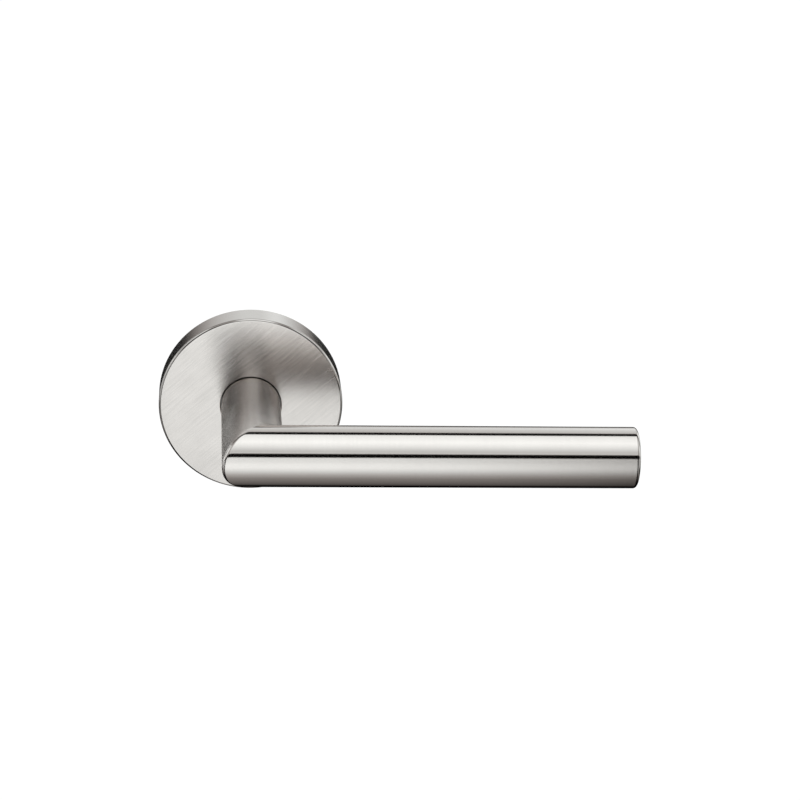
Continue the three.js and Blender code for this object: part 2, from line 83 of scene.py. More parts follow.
# Walls, steps and gaps that the boxes don't give.
running_gap = 0.05 * MM
journal_step = 0.25 * MM
bush_wall = 2.05 * MM
bush_flange = 0.7 * MM
washer_play = 0.4 * MM
hub_wall = 1.4 * MM
plate_thickness = 1.8 * MM
overrun = 0.5 * MM  # how far a cutting tool stands out of what it cuts

bore_radius = core_radius + running_gap
journal_radius = core_radius - journal_step
bush_bore = journal_radius + running_gap
bush_radius = bush_bore + bush_wall
hub_bore = bush_radius + running_gap
hub_height = drive_back - bush_flange
recess_radius = washer_radius + washer_play
hub_radius = recess_radius + hub_wall

# Return spring, drive plate and stops. Angles are in degrees, counter-clockwise from +X, seen from the front.
wire_radius = 0.72 * MM
spring_clearance = 0.8 * MM
disc_lip = 0.3 * MM
arm_gap = 0.6 * MM
arm_reach = 4 * MM
spring_radius = hub_radius + spring_clearance + wire_radius
spring_back = plate_thickness + running_gap + wire_radius
spring_front = drive_back - running_gap - wire_radius
FIXED_LEG, MOVING_LEG, WHOLE_TURNS = 150.0, 105.5, 2
DOG, DOG_WIDTH = 112.5, 8.0
STOP_ARM, STOP_ARM_WIDTH = 292.5, 16.0
STOP_GAP, STOP_LUG_WIDTH, TRAVEL = 0.6, 10.0, 45.0
disc_radius = spring_radius + wire_radius + disc_lip
arm_inner = disc_radius + arm_gap
arm_outer = disc_radius + arm_reach
arm_middle = (arm_inner + arm_outer) / 2

grub_radius = 3 * MM
grub_height = 18 * MM
grub_sink = 0.4 * MM
grub_top = tube_radius - grub_sink

# ---------------------------------------------------------------- mesh helpers

WELD = 1e-7
ON_AXIS = 1e-9
LEAST_UV_RADIUS = 1e-4
SHARP_ANGLE = 32.0
BEVEL_SEGMENTS = 2
CORNER_SHARE = 0.45  # how much of a profile's edge the rounding at one end may take up
EDGE_SEARCH = 1.1  # how far a rounded edge's faces are looked for, in times its radius
# Height above the root over one turn of a thread, evenly spaced.
THREAD_SHAPE = (0.0, 0.15, 1.0, 1.0, 0.15, 0.0)


def scene_object(name, mesh):
    made = bpy.data.objects.new(name, mesh)
    bpy.context.scene.collection.objects.link(made)
    return made


def to_mesh(name, bm):
    """A mesh with its faces turned outwards and its UV layer named."""
    bmesh.ops.remove_doubles(bm, verts=bm.verts, dist=WELD)
    bmesh.ops.recalc_face_normals(bm, faces=bm.faces)
    bm.loops.layers.uv.verify()
    mesh = bpy.data.meshes.new(name)
    bm.to_mesh(mesh)
    bm.free()
    mesh.uv_layers[0].name = "UVMap"
    return mesh


def finish_mesh(name, bm, body, nodes, material, sharp=SHARP_ANGLE, bevel=0.0):
    """Turns bm into a piece that rides on body and stands for nodes. With no body, the caller places it."""
    mesh = to_mesh(name, bm)
    for polygon in mesh.polygons:
        polygon.use_smooth = True
    mesh.set_sharp_from_angle(angle=math.radians(sharp))
    piece = scene_object(name, mesh)
    for entry in material if isinstance(material, list) else [material]:
        mesh.materials.append(entry)
    if bevel:
        modifier = piece.modifiers.new("soft_edges", "BEVEL")
        modifier.width = bevel
        modifier.segments = BEVEL_SEGMENTS
        modifier.limit_method = "ANGLE"
        modifier.angle_limit = math.radians(sharp)
        modifier.miter_outer = "MITER_ARC"
    modifier = piece.modifiers.new("flat_faces_stay_flat", "WEIGHTED_NORMAL")
    modifier.keep_sharp = not bevel
    if body:
        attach(piece, body)
    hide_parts(*nodes)
    return piece


def grid(bm, rings, uvs):
    """Faces between closed rings of points. uvs has one more column than a ring, for the seam."""
    layer = bm.loops.layers.uv.verify()
    made = [[bm.verts.new(p) for p in ring] for ring in rings]
    count = len(rings[0])
    for i in range(len(rings) - 1):
        for j in range(count):
            k = (j + 1) % count
            corners = [(i, j, j), (i, k, j + 1), (i + 1, k, j + 1), (i + 1, j, j)]
            face = bm.faces.new([made[a][b] for a, b, _ in corners])
            for loop, (a, _, c) in zip(face.loops, corners):
                loop[layer].uv = uvs[a][c]


def arc(cx, cy, radius, start, end, steps):
    """Points of an arc in a profile, angles in degrees, both ends included."""
    angles = [math.radians(start + (end - start) * i / steps) for i in range(steps + 1)]
    return [(cx + radius * math.cos(angle), cy + radius * math.sin(angle)) for angle in angles]


def softened(profile, radius, steps=3, closed=False):
    """A profile with each corner rounded off. The ends of an open profile stay sharp."""
    made = []
    count = len(profile)
    for i, point in enumerate(profile):
        if not closed and i in (0, count - 1):
            made.append(point)
            continue
        here = Vector(point)
        before, after = Vector(profile[i - 1]) - here, Vector(profile[(i + 1) % count]) - here
        back = min(radius, CORNER_SHARE * before.length, CORNER_SHARE * after.length)
        start, end = here + before.normalized() * back, here + after.normalized() * back
        for k in range(steps + 1):
            t = k / steps
            made.append(tuple(start * (1 - t) ** 2 + here * 2 * t * (1 - t) + end * t**2))
    return made


def lathe(bm, profile, segments=96, closed=True, centre=(0, 0)):
    """A profile of (radius, height) turned about an axis along -Y: u runs along it, and v round it."""
    points = list(profile)
    if closed:
        points.append(points[0])
    rings, uvs = [], []
    u = 0.0
    for i, (radius, height) in enumerate(points):
        if i:
            u += math.dist(points[i - 1], points[i])
        radius = max(radius, ON_AXIS)
        ring, row = [], []
        for j in range(segments + 1):
            angle = 2 * math.pi * j / segments
            if j < segments:
                x, z = centre[0] + radius * math.cos(angle), centre[1] + radius * math.sin(angle)
                ring.append((x, -height, z))
            row.append((u, angle * max(radius, LEAST_UV_RADIUS)))
        rings.append(ring)
        uvs.append(row)
    grid(bm, rings, uvs)
    return bm


def turned(profile, radius=0.0, segments=96, closed=True, centre=(0, 0)):
    """A new solid of revolution with rounded corners."""
    shape = softened(profile, radius, closed=closed) if radius else profile
    return lathe(bmesh.new(), shape, segments, closed=closed, centre=centre)


def rod(radius, back, front, centre=(0, 0), segments=48):
    profile = [(0, back), (radius, back), (radius, front), (0, front)]
    return turned(profile, segments=segments, closed=False, centre=centre)


def prism(outline, back, front, front_scale=1.0, centre=(0, 0)):
    """An outline of (x, z) between two heights. Its front can be smaller or larger than its back."""
    bm = bmesh.new()
    ends = []
    for height, scale in ((back, 1.0), (front, front_scale)):
        points = [(centre[0] + x * scale, -height, centre[1] + z * scale) for x, z in outline]
        ends.append([bm.verts.new(point) for point in points])
    count = len(outline)
    bm.faces.new(ends[0])
    bm.faces.new(list(reversed(ends[1])))
    for i in range(count):
        k = (i + 1) % count
        bm.faces.new((ends[0][i], ends[1][i], ends[1][k], ends[0][k]))
    layer = bm.loops.layers.uv.verify()
    for face in bm.faces:
        for loop in face.loops:
            loop[layer].uv = (loop.vert.co.x, loop.vert.co.z - loop.vert.co.y)
    return bm


def rectangle(width, height):
    return [(x * width / 2, z * height / 2) for x, z in ((-1, -1), (1, -1), (1, 1), (-1, 1))]


def sector(inner, outer, middle, width, back, front, steps=16):
    """A piece of a ring, width degrees wide."""
    low, high = middle - width / 2, middle + width / 2
    return prism(arc(0, 0, outer, low, high, steps) + arc(0, 0, inner, high, low, steps), back, front)


def polar(radius, angle):
    return radius * math.cos(math.radians(angle)), radius * math.sin(math.radians(angle))


def on_rounded_edge(face, radius, height, rounding):
    """Whether a face of a turned piece lies on the rounded edge at that radius and height."""
    reach = EDGE_SEARCH * rounding
    corners = [(Vector((v.co.x, v.co.z)).length, -v.co.y) for v in face.verts]
    return all(out > radius - reach and ahead > height - reach for out, ahead in corners)


def carved(body, cutters=(), added=()):
    """body with the added solids joined on and the cutters taken away."""
    base = scene_object("work", to_mesh("work", body))
    tools = []
    for operation, shapes in (("UNION", added), ("DIFFERENCE", cutters)):
        for shape in shapes:
            tools.append(scene_object("work", to_mesh("work", shape)))
            modifier = base.modifiers.new(operation, "BOOLEAN")
            modifier.operation = operation
            modifier.solver = "EXACT"
            modifier.object = tools[-1]
    result = bmesh.new()
    result.from_mesh(base.evaluated_get(bpy.context.evaluated_depsgraph_get()).to_mesh())
    for work in [base, *tools]:
        mesh = work.data
        bpy.data.objects.remove(work)
        bpy.data.meshes.remove(mesh)
    return result


def thread(bm, crest, root, pitch, start, end, segments=32, centre=(0, 0)):
    """A screw thread from start to end, along -Y. crest and root give the radius at a height."""
    rows = len(THREAD_SHAPE)
    total = rows * (math.ceil((end - start) / pitch) + 2)
    columns = []
    for j in range(segments):
        column = []
        for i in range(total + 1):
            height = start + (i / rows - 1 + j / segments) * pitch
            inside = start < height < end
            height = min(max(height, start), end)
            lift = THREAD_SHAPE[i % rows] if inside else 0.0
            radius = root(height) + (crest(height) - root(height)) * lift
            x, z = polar(radius, 360 * j / segments)
            column.append(bm.verts.new((centre[0] + x, -height, centre[1] + z)))
        columns.append(column)
    layer = bm.loops.layers.uv.verify()
    for j in range(segments):
        wrap = rows if j == segments - 1 else 0
        following = columns[(j + 1) % segments]
        for i in range(total - wrap):
            column = columns[j]
            face = bm.faces.new((column[i], following[i + wrap], following[i + wrap + 1], column[i + 1]))
            for loop in face.loops:
                loop[layer].uv = (loop.vert.co.y, (loop.vert.co.x - centre[0]) + loop.vert.co.z)
    return bm


# ---------------------------------------------------------------- material helpers

# Noise frequencies, per metre: across and along the brush marks, and the slow clouds of tone over them.
HAIR_ACROSS, HAIR_ALONG = 9000, 160
STREAK_ACROSS, STREAK_ALONG = 2600, 110
TONE_CLOUDS = 90
PLATING_GRAIN, PLATING_GREEN, PLATING_PINK = 1400, 160, 240
MARK_DEPTH = 0.000012
GRAIN_DEPTH = 0.00002
# The stretch of a noise's range that is spread over the whole of what it drives.
WIDE, MIDDLE, NARROW = (0.3, 0.7), (0.34, 0.66), (0.35, 0.65)
GREEN_PATCHES, PINK_PATCHES = (0.45, 0.62), (0.5, 0.68)


class Tree:
    """A small wrapper that builds a node material."""

    def __init__(self, name):
        self.material = bpy.data.materials.new(name)
        self.material.use_nodes = True
        self.nodes = self.material.node_tree.nodes
        self.links = self.material.node_tree.links
        self.shader = self.nodes["Principled BSDF"]

    def add(self, kind, values=None, **settings):
        node = self.nodes.new(kind)
        for key, value in settings.items():
            setattr(node, key, value)
        for key, value in (values or {}).items():
            if isinstance(value, bpy.types.NodeSocket):
                self.links.new(value, node.inputs[key])
            else:
                node.inputs[key].default_value = value
        return node

    def set(self, **values):
        for key, value in values.items():
            socket = self.shader.inputs[key.replace("_", " ")]
            if isinstance(value, bpy.types.NodeSocket):
                self.links.new(value, socket)
            else:
                socket.default_value = value

    def scaled(self, vector, scale):
        return self.add("ShaderNodeMapping", {"Vector": vector, "Scale": scale}).outputs["Vector"]

    def noise(self, vector, detail=2.0, rough=0.5, scale=1.0):
        return self.add(
            "ShaderNodeTexNoise",
            {"Vector": vector, "Scale": scale, "Detail": detail, "Roughness": rough},
        ).outputs["Fac"]

    def span(self, value, low, high, source=(0.0, 1.0)):
        return self.add(
            "ShaderNodeMapRange",
            {"Value": value, "From Min": source[0], "From Max": source[1], "To Min": low, "To Max": high},
        ).outputs["Result"]

    def math(self, operation, a, b):
        return self.add("ShaderNodeMath", {0: a, 1: b}, operation=operation).outputs["Value"]

    def mixed(self, factor, a, b):
        """A mix of two colours, by the number of its colour sockets: 6 and 7 in, 2 out."""
        return self.add("ShaderNodeMix", {0: factor, 6: a, 7: b}, data_type="RGBA").outputs[2]

    def bump(self, height, distance, strength):
        values = {"Height": height, "Distance": distance, "Strength": strength}
        return self.add("ShaderNodeBump", values).outputs["Normal"]


def brushed(name, colour, dark, rough, anisotropy, fine=1.0, coarse=1.0, depth=1.0, length=1.0):
    """Metal with straight or turned brush marks. The UV map's u runs across the marks and v along them."""
    t = Tree(name)
    uv = t.add("ShaderNodeUVMap", uv_map="UVMap").outputs["UV"]
    hair = t.noise(t.scaled(uv, (HAIR_ACROSS * fine, HAIR_ALONG / length, 1)), detail=3, rough=0.6)
    streak = t.noise(t.scaled(uv, (STREAK_ACROSS * coarse, STREAK_ALONG / length, 1)), detail=3, rough=0.6)
    cloud = t.noise(t.add("ShaderNodeTexCoord").outputs["Object"], detail=3, scale=TONE_CLOUDS)
    marks = t.math("ADD", t.math("MULTIPLY", hair, 0.5), t.math("MULTIPLY", streak, 0.5))
    tone = t.math("ADD", t.math("MULTIPLY", marks, 0.75), t.math("MULTIPLY", cloud, 0.25))
    t.set(
        Base_Color=t.mixed(t.span(tone, 0.0, 1.0, MIDDLE), dark, colour),
        Metallic=1.0,
        Roughness=t.span(marks, *rough, WIDE),
        Anisotropic=anisotropy,
        Normal=t.bump(marks, MARK_DEPTH * depth, 0.5),
        Tangent=t.add("ShaderNodeTangent", direction_type="UV_MAP", uv_map="UVMap").outputs["Tangent"],
    )
    return t.material


def plain(name, colour, dark, rough, metal=1.0, grain=900.0, depth=GRAIN_DEPTH, cloudy=60.0):
    """Cast, moulded or plated material: fine grain over slow clouds, in object coordinates."""
    t = Tree(name)
    place = t.add("ShaderNodeTexCoord").outputs["Object"]
    fine = t.noise(place, detail=4, rough=0.6, scale=grain)
    cloud = t.noise(place, detail=3, rough=0.55, scale=cloudy)
    tone = t.math("ADD", t.math("MULTIPLY", fine, 0.35), t.math("MULTIPLY", cloud, 0.65))
    t.set(
        Base_Color=t.mixed(t.span(tone, 0.0, 1.0, NARROW), dark, colour),
        Metallic=metal,
        Roughness=t.span(tone, *rough, NARROW),
        Normal=t.bump(fine, depth, 0.6),
    )
    return t.material


def plated(name, colour, green, pink, rough):
    """Passivated zinc plate, whose colour drifts between three shades."""
    t = Tree(name)
    place = t.add("ShaderNodeTexCoord").outputs["Object"]
    fine = t.noise(place, detail=4, rough=0.6, scale=PLATING_GRAIN)
    drift = t.noise(place, scale=PLATING_GREEN)
    other = t.noise(t.scaled(place, (1.0, 0.4, 1.0)), scale=PLATING_PINK)
    shade = t.mixed(t.span(drift, 0.0, 1.0, GREEN_PATCHES), colour, green)
    shade = t.mixed(t.span(other, 0.0, 1.0, PINK_PATCHES), shade, pink)
    t.set(
        Base_Color=shade,
        Metallic=1.0,
        Roughness=t.span(fine, *rough, WIDE),
        Normal=t.bump(fine, GRAIN_DEPTH, 0.5),
    )
    return t.material


def rgb(r, g, b):
    return (r, g, b, 1.0)


satin = brushed(
    "satin_stainless_steel", rgb(0.675, 0.628, 0.598), rgb(0.615, 0.572, 0.545),
    rough=(0.12, 0.16), anisotropy=0.9,
)
# The neck's steel is a lighter copy of the satin steel. Its lighter colour is painted light; its rougher,
# fully anisotropic marks are the neck's own finish.
neck_satin_painted_lighter = brushed(
    "satin_stainless_neck_painted_lighter", rgb(0.77, 0.716, 0.682), rgb(0.69, 0.642, 0.611),
    rough=(0.17, 0.22), anisotropy=1.0,
)
# The rose face's steel is a lighter copy of the satin steel. Its lighter colour is painted light; its coarser
# diagonal brush marks, wider random tone and higher roughness are the face's own finish.
face_satin_painted_lighter = brushed(
    "satin_stainless_face_painted_lighter", rgb(0.75, 0.696, 0.664), rgb(0.55, 0.51, 0.486),
    rough=(0.22, 0.28), anisotropy=0.6, fine=0.42, coarse=0.45, depth=0.8, length=2.0,
)
# Rounded edges get a darker copy of the satin steel. Its darker colour is painted shade along the edges; its
# smoother polish is the edges' own.
edge_polish_painted_darker = brushed(
    "polished_edge_painted_darker", rgb(0.6, 0.558, 0.532), rgb(0.52, 0.484, 0.461),
    rough=(0.07, 0.1), anisotropy=0.5, depth=0.4,
)

# ---------------------------------------------------------------- grip and neck

AROUND = 160
TUBE_STEPS = 24
MITRE_STEPS = 6
mitre_round = 1.1 * MM
mitre_inset = 0.3 * mitre_round
tube_start = tube_radius + 10 * MM


def mitred_tube(towards, far):
    """A tube from the mitre out along towards, "grip" (+X) or "neck" (+Y), with a softened mitre edge."""
    bm = bmesh.new()
    rings, uvs = [], []

    def ring(radius, place):
        """place gives the distance along the tube and the dip of its skin, from the distance to the mitre."""
        points, row = [], []
        for j in range(AROUND + 1):
            angle = 2 * math.pi * j / AROUND
            corner = radius * math.cos(angle)
            height = radius * math.sin(angle)
            along, dip = place(corner)
            row.append((along, angle * radius))
            if j < AROUND and towards == "grip":
                points.append((along, -neck_reach + corner + dip, height))
            elif j < AROUND:
                points.append((corner + dip, -neck_reach + along, height))
        rings.append(points)
        uvs.append(row)

    for step in range(MITRE_STEPS + 1):
        turn = math.radians(45 + 45 * step / MITRE_STEPS)
        dip = mitre_round * (1 - math.sin(turn))
        run = mitre_round * (1 - math.cos(turn))
        ring(tube_radius, lambda corner, run=run, dip=dip: (corner + run, dip))
    ring(tube_radius, lambda corner: (corner + 2 * mitre_round, 0.0))
    for step in range(TUBE_STEPS + 1):
        place = tube_start + (far - tube_start) * step / TUBE_STEPS
        ring(tube_radius, lambda corner, place=place: (place, 0.0))
    ring(bore_radius, lambda corner: (far, 0.0))
    ring(bore_radius, lambda corner: (tube_start, 0.0))
    ring(bore_radius, lambda corner: (corner + mitre_inset, mitre_inset))
    rings.append(rings[0])
    uvs.append(uvs[0])
    grid(bm, rings, uvs)
    return bm


countersink = 0.25 * MM
countersink_overrun = 1 * MM


def grub_hole():
    """A tool with a small countersink, standing down out of the spindle's socket."""
    reach = tube_radius + countersink_overrun
    profile = [(0, 0), (grub_radius, 0), (grub_radius, tube_radius - countersink)]
    profile += [(grub_radius + countersink + countersink_overrun, reach), (0, reach)]
    tool = turned(profile, segments=64, closed=False)
    tool.transform(Matrix.Translation((0, -grub_height, 0)) @ Matrix.Rotation(math.pi / 2, 4, "X"))
    return tool


finish_mesh("grip", mitred_tube("grip", grip_high.x), "lever", ["grip_tube"], satin)
neck = carved(mitred_tube("neck", neck_reach - neck_rear), [grub_hole()])
# The neck gets the copy of the satin steel with painted light in its colour.
finish_mesh("neck", neck, "lever", ["neck_tube"], neck_satin_painted_lighter)

# ---------------------------------------------------------------- end cap

end_fillet = 1.1 * MM
end_fillet_lead = 0.3 * MM
plug_chamfer = 0.5 * MM
plug_radius = bore_radius - running_gap
bm = bmesh.new()
profile = [(0, cap_low.x), (plug_radius - plug_chamfer, cap_low.x), (plug_radius, cap_low.x + plug_chamfer)]
profile += [(plug_radius, grip_high.x), (tube_radius, grip_high.x)]
profile += [(tube_radius, cap_high.x - end_fillet - end_fillet_lead)]
profile += arc(tube_radius - end_fillet, cap_high.x - end_fillet, end_fillet, 0, 90, 8)
profile += [(tube_radius * share, cap_high.x) for share in (0.8, 0.4, 0)]
lathe(bm, profile, AROUND, closed=False)
# The rounded end edge gets the steel with painted shade in its colour.
for face in bm.faces:
    if on_rounded_edge(face, tube_radius, cap_high.x, end_fillet):
        face.material_index = 1
bm.transform(Matrix.Rotation(math.pi / 2, 4, "Z"))
bm.transform(Matrix.Translation((0, -neck_reach, 0)))
finish_mesh("end_cap", bm, "lever", ["grip_end_cap"], [satin, edge_polish_painted_darker])

# ---------------------------------------------------------------- rose cover

BRUSH_ANGLE = math.radians(42)
FACE_RINGS = 8
across = Vector((math.sin(BRUSH_ANGLE), 0, -math.cos(BRUSH_ANGLE)))
along = Vector((math.cos(BRUSH_ANGLE), 0, math.sin(BRUSH_ANGLE)))
cover_gap = 0.3 * MM
cover_edge = 0.8 * MM
cover_wall = 1.5 * MM
hole_chamfer, rim_chamfer, mouth_chamfer = 0.2 * MM, 0.2 * MM, 0.3 * MM
edge_lead, rim_lead = 0.4 * MM, 0.6 * MM
seat_width, seat_depth = 3.17 * MM, 0.5 * MM
face_tolerance = 0.02 * MM

hole_radius = tube_radius + cover_gap
inner = rose_radius - cover_wall
ceiling = rose_depth - cover_wall
seat = tube_radius + seat_width
face_width = rose_radius - hole_radius - cover_edge
bm = bmesh.new()
profile = [(hole_radius, rose_depth - hole_chamfer), (hole_radius + hole_chamfer, rose_depth)]
profile += [(hole_radius + face_width * k / FACE_RINGS, rose_depth) for k in range(1, FACE_RINGS)]
profile += arc(rose_radius - cover_edge, rose_depth - cover_edge, cover_edge, 90, 0, 6)
profile += [(rose_radius, rose_depth - cover_edge - edge_lead), (rose_radius, rim_lead)]
profile += [(rose_radius, rim_chamfer), (rose_radius - rim_chamfer, 0)]
profile += [(inner + mouth_chamfer, 0), (inner, mouth_chamfer), (inner, ceiling), (seat, ceiling)]
profile += [(seat, ceiling + seat_depth), (hole_radius, ceiling + seat_depth)]
lathe(bm, profile, 192)
layer = bm.loops.layers.uv.verify()
for face in bm.faces:
    # The flat front face gets the steel with painted light in its colour, with UVs along its diagonal brush
    # marks.
    if all(v.co.y < -rose_depth + face_tolerance for v in face.verts):
        face.material_index = 1
        for loop in face.loops:
            loop[layer].uv = (loop.vert.co.dot(across), loop.vert.co.dot(along))
    # The rounded front edge gets the steel with painted shade in its colour.
    elif on_rounded_edge(face, rose_radius, rose_depth, cover_edge):
        face.material_index = 2
finish_mesh("cover", bm, "cover", ["rose_cover"], [satin, face_satin_painted_lighter, edge_polish_painted_darker])

# ---------------------------------------------------------------- inner materials

machined = brushed(
    "machined_steel", rgb(0.56, 0.56, 0.56), rgb(0.44, 0.44, 0.44), (0.24, 0.34), 0.6, fine=0.6
)
bright_zinc = brushed("bright_zinc", rgb(0.62, 0.64, 0.67), rgb(0.5, 0.52, 0.56), (0.24, 0.36), 0.3, fine=0.5)
pressed = plain("pressed_steel", rgb(0.6, 0.61, 0.61), rgb(0.46, 0.47, 0.48), (0.28, 0.42))
spring_steel = plain("spring_steel", rgb(0.36, 0.35, 0.34), rgb(0.22, 0.21, 0.2), (0.25, 0.4))
black_steel = plain("black_oxide_steel", rgb(0.06, 0.06, 0.06), rgb(0.03, 0.03, 0.03), (0.4, 0.55), metal=0.6)
spindle_zinc = plated(
    "spindle_zinc", rgb(0.68, 0.61, 0.4), rgb(0.6, 0.6, 0.46), rgb(0.66, 0.52, 0.4), (0.28, 0.42)
)
yellow_zinc = plated(
    "yellow_zinc", rgb(0.7, 0.58, 0.3), rgb(0.55, 0.58, 0.4), rgb(0.66, 0.45, 0.36), (0.26, 0.4)
)
casting = plain(
    "zinc_casting", rgb(0.56, 0.57, 0.58), rgb(0.4, 0.41, 0.42), (0.42, 0.58),
    grain=2600, depth=2 * GRAIN_DEPTH,
)
white_acetal = plain("white_acetal", rgb(0.82, 0.8, 0.74), rgb(0.74, 0.72, 0.66), (0.35, 0.5), metal=0.0)
black_acetal = plain("black_acetal", rgb(0.03, 0.03, 0.03), rgb(0.015, 0.015, 0.015), (0.4, 0.55), metal=0.0)
rubber = plain("black_rubber", rgb(0.03, 0.03, 0.03), rgb(0.012, 0.012, 0.012), (0.6, 0.8), metal=0.0)

# ---------------------------------------------------------------- core, spindle and grub screw

chamfer = 0.3 * MM
clip_groove = 0.5 * MM
key_width, key_depth = 3.1 * MM, 1.1 * MM
socket_play = 0.1 * MM
groove_radius = journal_radius - clip_groove
core_profile = [(0, core_front), (core_radius, core_front), (core_radius, drive_front)]
core_profile += [(journal_radius, drive_front)]
core_profile += [(journal_radius, washer_back), (groove_radius, washer_back), (groove_radius, clip_back)]
core_profile += [(journal_radius, clip_back), (journal_radius, core_rear), (0, core_rear)]
socket_width = 2 * spindle_half + socket_play
keyways = [
    prism(rectangle(2 * key_depth, key_width), -chamfer, drive_front, centre=(side * journal_radius, 0))
    for side in (-1, 1)
]
square = prism(rectangle(socket_width, socket_width), -chamfer, core_front + chamfer)
core = carved(turned(core_profile, chamfer, closed=False), [square, grub_hole(), *keyways])
finish_mesh("spindle_core", core, "lever", ["spindle_socket"], machined)

corner = 0.4 * MM
end_chamfer = 0.5 * MM
spindle_bevel = 0.12 * MM
straight = spindle_half - corner
outline = []
for quarter in range(4):
    square_turn = Matrix.Rotation(quarter * math.pi / 2, 2)
    outline += [square_turn @ Vector((spindle_half, z)) for z in (-straight, straight)]
bm = bmesh.new()
bar = [(spindle_rear, 1 - end_chamfer / spindle_half), (spindle_rear + end_chamfer, 1.0)]
bar += [(spindle_front - end_chamfer, 1.0), (spindle_front, 1 - end_chamfer / spindle_half)]
bar = [(spindle_rear, 0.0), *bar, (spindle_front, 0.0)]
rings = [[(x * scale, -height, z * scale) for x, z in outline] for height, scale in bar]
grid(bm, rings, [[(height, 2 * straight * j) for j in range(len(outline) + 1)] for height, _ in bar])
finish_mesh(
    "square_spindle", bm, "lever", ["spindle"], spindle_zinc, bevel=spindle_bevel
)

GRUB_SIDES = 48
grub_length = grub_top - spindle_half - running_gap / 2
grub_pitch, thread_depth, thread_play = 0.75 * MM, 0.35 * MM, 0.08 * MM
key_size, socket_depth = 3 * MM, 2.5 * MM
cup_depth, cup_floor, cup_lip, tip_length = 0.4 * MM, 0.9 * MM, 1.5 * MM, 0.8 * MM
head_length, head_chamfer = 0.5 * MM, 0.2 * MM
grub_root = grub_radius - thread_play - thread_depth
thread_end = grub_length - head_length
bm = bmesh.new()
tip = [(0, cup_depth), (cup_floor, cup_depth), (cup_lip, 0), (grub_root, tip_length)]
lathe(bm, tip, GRUB_SIDES, closed=False)
crest_radius = grub_root + thread_depth
thread(bm, lambda _: crest_radius, lambda _: grub_root, grub_pitch, tip_length, thread_end, GRUB_SIDES)
head = [(grub_root, thread_end), (grub_root - head_chamfer, grub_length), (0, grub_length)]
lathe(bm, head, GRUB_SIDES, closed=False)
hexagon = arc(0, 0, key_size / math.sqrt(3), 0, 300, 5)
grub = carved(bm, [prism(hexagon, grub_length - socket_depth, grub_length + overrun)])
grub_place = Matrix.Translation((0, -grub_height, grub_length - grub_top))
grub.transform(grub_place @ Matrix.Rotation(math.pi / 2, 4, "X"))
finish_mesh("grub_screw", grub, "lever", ["neck_grub_screw"], black_steel)

# ---------------------------------------------------------------- drive plate, washer and retaining ring

sheet_bevel = 0.12 * MM
dog_clearance = 0.3 * MM
dog_step = 0.1 * MM
DOG_TAPER = 0.4
bore = journal_radius + running_gap
arm_root = disc_radius - 1 * MM
disc = rod(disc_radius, drive_back, drive_front, segments=96)
dog_back = spring_front - wire_radius - dog_clearance
arms = [
    sector(arm_root, arm_outer, DOG, DOG_WIDTH, drive_back, drive_front),
    sector(arm_inner, arm_outer - dog_step, DOG, DOG_WIDTH - DOG_TAPER, dog_back, drive_front - dog_step),
    sector(arm_root, arm_outer, STOP_ARM, STOP_ARM_WIDTH, drive_back, drive_front),
]
key_side = key_width / 2 - running_gap
key_half = math.degrees(math.asin(key_side / bore))
key_root = journal_radius - key_depth + running_gap
keyed = []
for start, side in ((0, 1), (180, -1)):
    keyed.append((side * key_root, side * key_side))
    keyed += arc(0, 0, bore, start + key_half, start + 180 - key_half, 40)
    keyed.append((-side * key_root, side * key_side))
bore_tool = prism(keyed, drive_back - overrun, drive_front + overrun)
drive = carved(disc, [bore_tool], arms)
finish_mesh("drive_disc", drive, "lever", ["drive_plate"], pressed, bevel=sheet_bevel)

washer = [(bore, washer_back), (washer_radius, washer_back)]
washer += [(washer_radius, recess_floor), (bore, recess_floor)]
finish_mesh("washer", turned(washer, sheet_bevel), "lever", ["thrust_washer"], machined)

CLIP_OPENING = 34.0
clip_width, lug_radius, lug_hole, clip_bevel = 1.9 * MM, 1.5 * MM, 0.75 * MM, 0.1 * MM
clip_inner = groove_radius + running_gap
clip_outer = clip_inner + clip_width
lug_turn = CLIP_OPENING / 2 + math.degrees(lug_radius / clip_outer)
lugs = [polar(clip_outer, 270 + side * lug_turn) for side in (-1, 1)]
clip = sector(clip_inner, clip_outer, 90, 360 - CLIP_OPENING, clip_back, clip_front, steps=96)
clip = carved(
    clip,
    [rod(clip_inner, clip_back - overrun, clip_front + overrun, segments=96)]
    + [rod(lug_hole, clip_back - overrun, clip_front + overrun, lug, 24) for lug in lugs],
    [rod(lug_radius, clip_back, clip_front, lug) for lug in lugs],
)
finish_mesh("circlip", clip, "lever", ["retaining_ring"], spring_steel, bevel=clip_bevel)

# ---------------------------------------------------------------- mounting plate and its bush

rim_width, rim_height = 2.1 * MM, 5.2 * MM
seal_height, seal_radius, seal_lift = 3.5 * MM, 0.545 * MM, 0.03 * MM
groove_play, groove_depth = 0.15 * MM, 0.85 * MM
bolt_radius, bolt_hole, bolt_head_radius, bolt_head_play = 2 * MM, 2.2 * MM, 3.5 * MM, 0.3 * MM
sleeve_seat_radius, sleeve_seat_depth = 3.95 * MM, 1 * MM
screw_radius, screw_hole, screw_head_radius, screw_seat = 1.75 * MM, 1.95 * MM, 3.4 * MM, 3.6 * MM
screw_hole_depth = 0.15 * MM
stop_lug_drop = 0.3 * MM
post_radius, post_stand, post_play = 1.4 * MM, 1 * MM, 0.1 * MM
pocket_margin, pocket_depth = 2.2 * MM, 0.7 * MM
POCKETS, POCKET_WIDTH = (45, 135, 225, 315), 46
plate_bevel = 0.15 * MM

